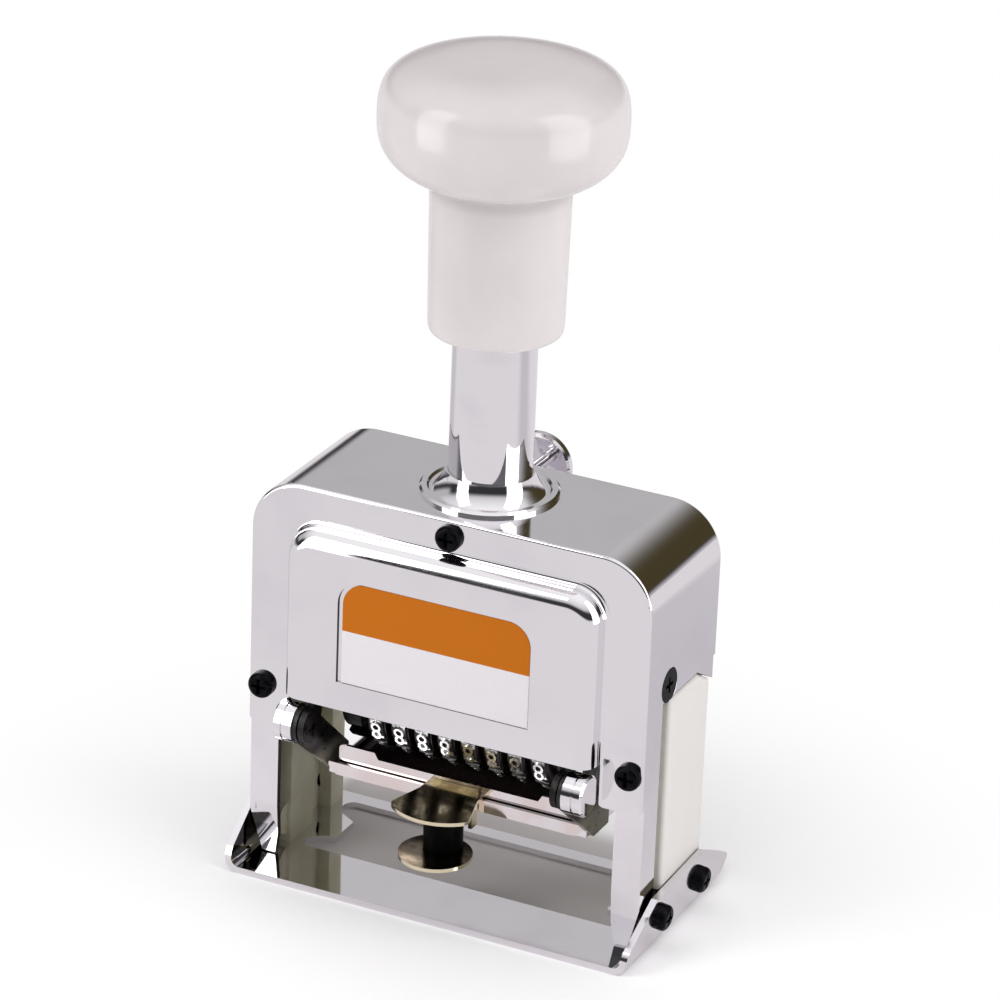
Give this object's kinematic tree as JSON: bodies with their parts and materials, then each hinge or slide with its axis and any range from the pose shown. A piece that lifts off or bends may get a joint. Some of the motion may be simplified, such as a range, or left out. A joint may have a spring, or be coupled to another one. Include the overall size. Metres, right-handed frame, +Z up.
{
  "type": "numbering machine",
  "caption": "Hand numbering machine: chromed case on a folded base, number wheels on a press-down plunger, and an ink pad on a cradle that swings clear.",
  "frame": {"origin": "on the plunger's axis, in the plane of the base's underside", "axes": "+Z up along the plunger, the front cover looks along -Y, +X to the right seen from the front"},
  "size_m": [0.0868, 0.0484, 0.16],
  "materials": {
    "chrome": "polished chrome plate",
    "knob_plastic": "glossy off-white moulding",
    "guide_plastic": "ivory moulding",
    "black_steel": "black oxide",
    "dark_steel": "blackened steel",
    "steel": "bright steel",
    "type_metal": "inked nickel",
    "brass": "bright brass",
    "black_plastic": "black moulding",
    "felt": "black inked felt",
    "label": "printed plate, bare"
  },
  "bodies": {
    "case": {"base_plate": "chrome", "body_shell": "chrome", "front_cover": "chrome", "back_cover": "chrome", "label_plate": "label", "side_guide_left": "guide_plastic", "side_guide_right": "guide_plastic", "collar": "chrome", "collar_nut": "steel", "front_screws": "black_steel", "back_screws": "black_steel", "side_screws": "black_steel", "ear_screws": "black_steel", "ear_spacers": "black_plastic", "spring_anchor_left": "steel", "spring_anchor_right": "steel", "return_spring_left": "steel", "return_spring_right": "steel", "cradle_bracket_left": "dark_steel", "cradle_bracket_right": "dark_steel", "lock_bush": "chrome"},
    "plunger": {"handle": "knob_plastic", "stem": "chrome", "stem_plug": "steel", "stem_screw": "steel", "crosshead": "steel", "carriage_plate_left": "dark_steel", "carriage_plate_right": "dark_steel", "wheel_axle": "steel", "axle_spacers": "steel", "tie_rods": "steel", "guide_shoe_left": "black_plastic", "guide_shoe_right": "black_plastic", "detent_comb": "steel"},
    "wheel_1": {"number_wheel_1": "type_metal"},
    "wheel_2": {"number_wheel_2": "type_metal"},
    "wheel_3": {"number_wheel_3": "type_metal"},
    "wheel_4": {"number_wheel_4": "type_metal"},
    "wheel_5": {"number_wheel_5": "type_metal"},
    "wheel_6": {"number_wheel_6": "type_metal"},
    "wheel_7": {"number_wheel_7": "type_metal"},
    "wheel_8": {"number_wheel_8": "type_metal"},
    "dial": {"repeat_dial": "steel"},
    "pawl": {"pawl_yoke": "dark_steel"},
    "cradle": {"tray_carrier": "chrome", "cradle_arm_left": "dark_steel", "cradle_arm_right": "dark_steel", "pivot_disc_left": "chrome", "pivot_disc_right": "chrome"},
    "tray": {"ink_tray": "chrome", "ink_pad": "felt", "pull_tab": "brass", "pull_core": "black_plastic", "lower_tab": "brass"},
    "lock": {"lock_knob": "chrome"}
  },
  "joints": [
    {"name": "plunger_slide", "type": "slide", "parent": "case", "child": "plunger", "axis": [0, 0, -1], "range_m": [0, 0.0228], "stiffness_N_per_m": 400, "springref_m": -0.01, "deforming": ["return_spring_left", "return_spring_right"]},
    {"name": "wheel_1_spin", "type": "hinge", "parent": "plunger", "child": "wheel_1", "pos_m": [0, 0, 0.0323], "axis": [1, 0, 0], "continuous": true},
    {"name": "wheel_2_spin", "type": "hinge", "parent": "plunger", "child": "wheel_2", "pos_m": [0, 0, 0.0323], "axis": [1, 0, 0], "continuous": true},
    {"name": "wheel_3_spin", "type": "hinge", "parent": "plunger", "child": "wheel_3", "pos_m": [0, 0, 0.0323], "axis": [1, 0, 0], "continuous": true},
    {"name": "wheel_4_spin", "type": "hinge", "parent": "plunger", "child": "wheel_4", "pos_m": [0, 0, 0.0323], "axis": [1, 0, 0], "continuous": true},
    {"name": "wheel_5_spin", "type": "hinge", "parent": "plunger", "child": "wheel_5", "pos_m": [0, 0, 0.0323], "axis": [1, 0, 0], "continuous": true},
    {"name": "wheel_6_spin", "type": "hinge", "parent": "plunger", "child": "wheel_6", "pos_m": [0, 0, 0.0323], "axis": [1, 0, 0], "continuous": true},
    {"name": "wheel_7_spin", "type": "hinge", "parent": "plunger", "child": "wheel_7", "pos_m": [0, 0, 0.0323], "axis": [1, 0, 0], "continuous": true},
    {"name": "wheel_8_spin", "type": "hinge", "parent": "plunger", "child": "wheel_8", "pos_m": [0, 0, 0.0323], "axis": [1, 0, 0], "continuous": true},
    {"name": "dial_spin", "type": "hinge", "parent": "plunger", "child": "dial", "pos_m": [0, 0, 0.0323], "axis": [1, 0, 0], "continuous": true},
    {"name": "pawl_rock", "type": "hinge", "parent": "plunger", "child": "pawl", "pos_m": [0, 0, 0.0323], "axis": [1, 0, 0], "range_deg": [-36, 0]},
    {"name": "cradle_swing", "type": "hinge", "parent": "case", "child": "cradle", "pos_m": [0, -0.0195, 0.033], "axis": [1, 0, 0], "range_deg": [-75, 0]},
    {"name": "tray_slide", "type": "slide", "parent": "cradle", "child": "tray", "axis": [0, -1, 0], "range_m": [0, 0.024]},
    {"name": "lock_slide", "type": "slide", "parent": "case", "child": "lock", "axis": [0, -1, 0], "range_m": [0, 0.003]}
  ],
  "couplings": [
    {"joint": "pawl_rock", "follows": "plunger_slide", "rad_per_m": -27.55},
    {"joint": "cradle_swing", "follows": "plunger_slide", "rad_per_m": -57.4}
  ]
}
